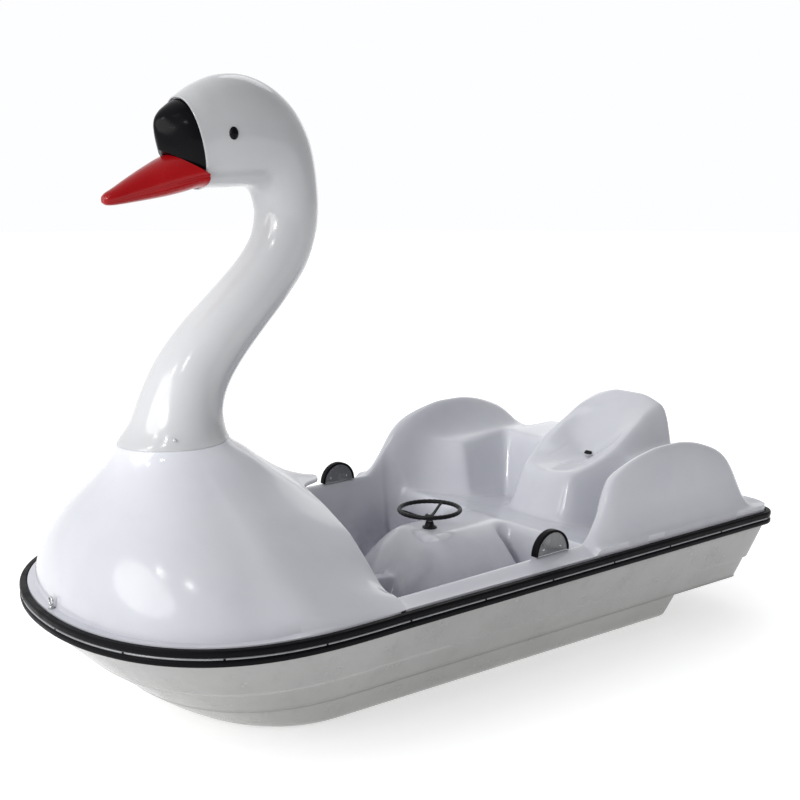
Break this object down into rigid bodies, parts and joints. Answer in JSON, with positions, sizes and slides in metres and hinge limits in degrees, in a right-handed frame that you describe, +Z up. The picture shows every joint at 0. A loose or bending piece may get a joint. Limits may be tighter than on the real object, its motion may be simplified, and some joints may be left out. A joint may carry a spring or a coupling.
{
  "type": "pedal boat",
  "caption": "Swan-headed pedal boat with side-by-side seats, foot cranks driving a stern propeller, a central handwheel steering a rudder, moulded wings and a rubber rub rail",
  "frame": {"origin": "middle of the flat bottom, under the middle of the length and beam", "axes": "+X to the bow along the length, +Y to port, +Z up"},
  "size_m": [2.893, 1.5954, 2.146],
  "materials": {
    "gelcoat": "glossy white gelcoat",
    "hull": "glossy pale grey gelcoat",
    "black": "glossy black",
    "red": "glossy red",
    "rubber": "satin black",
    "steel": "stainless, brushed",
    "plastic": "black, lightly grained",
    "grey": "silver grey",
    "bronze": "bronze",
    "foam": "closed-cell foam"
  },
  "bodies": {
    "hull": {"beak": "red", "bow_eye_bolt": "steel", "cockpit_tub": "gelcoat", "column_flange": "plastic", "crank_bearing_port": "plastic", "crank_bearing_starboard": "plastic", "deck_latch": "plastic", "disc_port": "grey", "disc_port_edging": "rubber", "disc_starboard": "grey", "disc_starboard_edging": "rubber", "drain_plug": "plastic", "eye_port": "black", "eye_starboard": "black", "face_mask": "black", "foam_aft_port": "foam", "foam_aft_starboard": "foam", "foam_fore_port": "foam", "foam_fore_starboard": "foam", "front_cowl": "gelcoat", "gearbox_case": "grey", "gearbox_cover": "grey", "hull_shell": "hull", "neck_and_head": "gelcoat", "neck_screw_port": "steel", "neck_screw_starboard": "steel", "rail_insert": "grey", "rub_rail": "rubber", "rudder_tube": "bronze", "stern_tube": "bronze", "upper_deck": "gelcoat"},
    "steering": {"handwheel": "plastic", "steering_shaft": "steel", "steering_arm": "steel"},
    "rod": {"steering_rod": "steel"},
    "rudder": {"rudder_stock": "steel", "tiller_arm": "steel", "rudder_blade": "steel"},
    "crank": {"crankshaft": "steel", "crown_gear": "steel"},
    "drive": {"propeller_shaft": "steel", "pinion_gear": "steel", "propeller": "bronze", "propeller_nut": "bronze"},
    "pedal_pi": {"pedal_port_inner": "plastic"},
    "pedal_po": {"pedal_port_outer": "plastic"},
    "pedal_si": {"pedal_starboard_inner": "plastic"},
    "pedal_so": {"pedal_starboard_outer": "plastic"}
  },
  "joints": [
    {"name": "steer", "type": "hinge", "parent": "hull", "child": "steering", "pos_m": [-0.178, 0, 0.4], "axis": [0, 0, 1], "range_deg": [-40, 40]},
    {"name": "rod_slide", "type": "slide", "parent": "hull", "child": "rod", "axis": [1, 0, 0], "range_m": [-0.042, 0.042]},
    {"name": "rudder_turn", "type": "hinge", "parent": "hull", "child": "rudder", "pos_m": [-1.275, 0, 0.25], "axis": [0, 0, 1], "range_deg": [-30, 30]},
    {"name": "crank_spin", "type": "hinge", "parent": "hull", "child": "crank", "pos_m": [0.42, 0, 0.26], "axis": [0, 1, 0], "continuous": true},
    {"name": "shaft_spin", "type": "hinge", "parent": "hull", "child": "drive", "pos_m": [0.35626, 0, 0.25426], "axis": [-0.996, 0, -0.0896], "continuous": true},
    {"name": "pedal_port_inner_spin", "type": "hinge", "parent": "crank", "child": "pedal_pi", "pos_m": [0.315, 0.2275, 0.26], "axis": [0, 1, 0], "continuous": true},
    {"name": "pedal_port_outer_spin", "type": "hinge", "parent": "crank", "child": "pedal_po", "pos_m": [0.525, 0.3425, 0.26], "axis": [0, 1, 0], "continuous": true},
    {"name": "pedal_starboard_inner_spin", "type": "hinge", "parent": "crank", "child": "pedal_si", "pos_m": [0.525, -0.2275, 0.26], "axis": [0, 1, 0], "continuous": true},
    {"name": "pedal_starboard_outer_spin", "type": "hinge", "parent": "crank", "child": "pedal_so", "pos_m": [0.315, -0.3425, 0.26], "axis": [0, 1, 0], "continuous": true}
  ],
  "couplings": [
    {"joint": "rod_slide", "follows": "steer", "m_per_rad": -0.06},
    {"joint": "rudder_turn", "follows": "steer", "ratio": -0.75},
    {"joint": "shaft_spin", "follows": "crank_spin", "ratio": 3.2}
  ]
}
